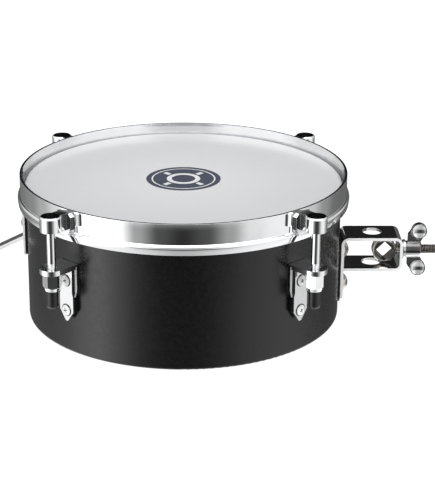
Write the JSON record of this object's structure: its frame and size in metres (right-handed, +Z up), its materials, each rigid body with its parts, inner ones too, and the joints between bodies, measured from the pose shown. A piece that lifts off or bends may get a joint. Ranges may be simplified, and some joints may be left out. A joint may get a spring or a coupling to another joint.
{
  "type": "timbale",
  "caption": "Shallow steel drum with a chrome counter hoop, claw tension lugs, a film head, a snare throw-off lever and a rod clamp with a wing nut.",
  "frame": {"origin": "on the drum's axis, in the plane of the shell's bottom rim", "axes": "+Z up along the drum's axis, towards the head; -Y is the front; the rod clamp is at +X and the throw-off lever at -X"},
  "size_m": [0.358, 0.2672, 0.1194],
  "materials": {
    "shell": "satin black powder coat",
    "film": "smooth coated film",
    "hoop_alloy": "plain",
    "chrome": "polished chrome plate",
    "zinc": "zinc-plated steel",
    "rubber": "matt black rubber",
    "snare_steel": "drawn steel wire",
    "snare_brass": "brushed brass"
  },
  "bodies": {
    "drum": {"shell": "shell", "head_film": "film", "lug_bracket_fl": "chrome", "lug_bracket_fr": "chrome", "lug_bracket_rl": "chrome", "lug_bracket_rr": "chrome", "lug_spacer_fl": "rubber", "lug_spacer_fr": "rubber", "lug_spacer_rl": "rubber", "lug_spacer_rr": "rubber", "lug_screws": "chrome", "lug_washers": "zinc", "lug_hex_nuts": "zinc", "clamp_bracket": "chrome", "clamp_gasket": "rubber", "clamp_screws": "chrome", "clamp_hex_nuts": "zinc", "lock_washer": "zinc", "strainer_plate": "chrome", "strainer_gasket": "rubber", "strainer_yoke": "zinc", "strainer_screws": "chrome", "strainer_hex_nuts": "zinc", "pivot_pin": "zinc", "snare_butt_bracket": "zinc", "snare_hinge_pin": "zinc"},
    "tensioned_hoop": {"counter_hoop": "chrome", "flesh_hoop": "hoop_alloy", "claw_fl": "chrome", "claw_fr": "chrome", "claw_rl": "chrome", "claw_rr": "chrome", "tension_rod_fl": "chrome", "tension_rod_fr": "chrome", "tension_rod_rl": "chrome", "tension_rod_rr": "chrome", "rod_tip_fl": "rubber", "rod_tip_fr": "rubber", "rod_tip_rl": "rubber", "rod_tip_rr": "rubber"},
    "eye_swivel": {"flat_washer": "chrome"},
    "eyebolt": {"eyebolt": "chrome"},
    "wing_nut": {"wing_nut": "chrome"},
    "lever": {"strainer_lever": "chrome"},
    "snares": {"snare_end_plates": "snare_brass", "snare_wires": "snare_steel"},
    "tuning_nut_fl": {"tuning_nut_fl": "chrome"},
    "tuning_nut_fr": {"tuning_nut_fr": "chrome"},
    "tuning_nut_rl": {"tuning_nut_rl": "chrome"},
    "tuning_nut_rr": {"tuning_nut_rr": "chrome"}
  },
  "joints": [
    {"name": "tuning_nut_fl_turn", "type": "hinge", "parent": "drum", "child": "tuning_nut_fl", "pos_m": [-0.09937, -0.10656, 0.066], "axis": [0, 0, 1], "range_deg": [0, 721]},
    {"name": "tuning_nut_fr_turn", "type": "hinge", "parent": "drum", "child": "tuning_nut_fr", "pos_m": [0.09937, -0.10656, 0.066], "axis": [0, 0, 1], "range_deg": [0, 721]},
    {"name": "tuning_nut_rl_turn", "type": "hinge", "parent": "drum", "child": "tuning_nut_rl", "pos_m": [-0.10481, 0.10121, 0.066], "axis": [0, 0, 1], "range_deg": [0, 721]},
    {"name": "tuning_nut_rr_turn", "type": "hinge", "parent": "drum", "child": "tuning_nut_rr", "pos_m": [0.10481, 0.10121, 0.066], "axis": [0, 0, 1], "range_deg": [0, 721]},
    {"name": "hoop_draw", "type": "slide", "parent": "drum", "child": "tensioned_hoop", "axis": [0, 0, -1], "range_m": [0, 0.002]},
    {"name": "wing_nut_turn", "type": "hinge", "parent": "drum", "child": "wing_nut", "pos_m": [0.188, 0, 0.0507], "axis": [1, 0, 0], "range_deg": [0, 2880]},
    {"name": "eye_swivel", "type": "hinge", "parent": "drum", "child": "eye_swivel", "pos_m": [0.18, 0, 0.0507], "axis": [1, 0, 0], "range_deg": [0, 90]},
    {"name": "eyebolt_slide", "type": "slide", "parent": "eye_swivel", "child": "eyebolt", "axis": [-1, 0, 0], "range_m": [0, 0.0101]},
    {"name": "lever_throw", "type": "hinge", "parent": "drum", "child": "lever", "pos_m": [-0.118, 0, 0.0683], "axis": [0, 1, 0], "range_deg": [0, 20]},
    {"name": "snare_drop", "type": "hinge", "parent": "drum", "child": "snares", "pos_m": [0.1105, 0, 0.102], "axis": [0, 1, 0], "range_deg": [-1.5, 0]}
  ],
  "couplings": [
    {"joint": "tuning_nut_fl_turn", "follows": "hoop_draw", "rad_per_m": 6283.2},
    {"joint": "tuning_nut_fr_turn", "follows": "hoop_draw", "rad_per_m": 6283.2},
    {"joint": "tuning_nut_rl_turn", "follows": "hoop_draw", "rad_per_m": 6283.2},
    {"joint": "tuning_nut_rr_turn", "follows": "hoop_draw", "rad_per_m": 6283.2},
    {"joint": "eyebolt_slide", "follows": "wing_nut_turn", "m_per_rad": 0.00019894},
    {"joint": "snare_drop", "follows": "lever_throw", "ratio": -0.066}
  ]
}
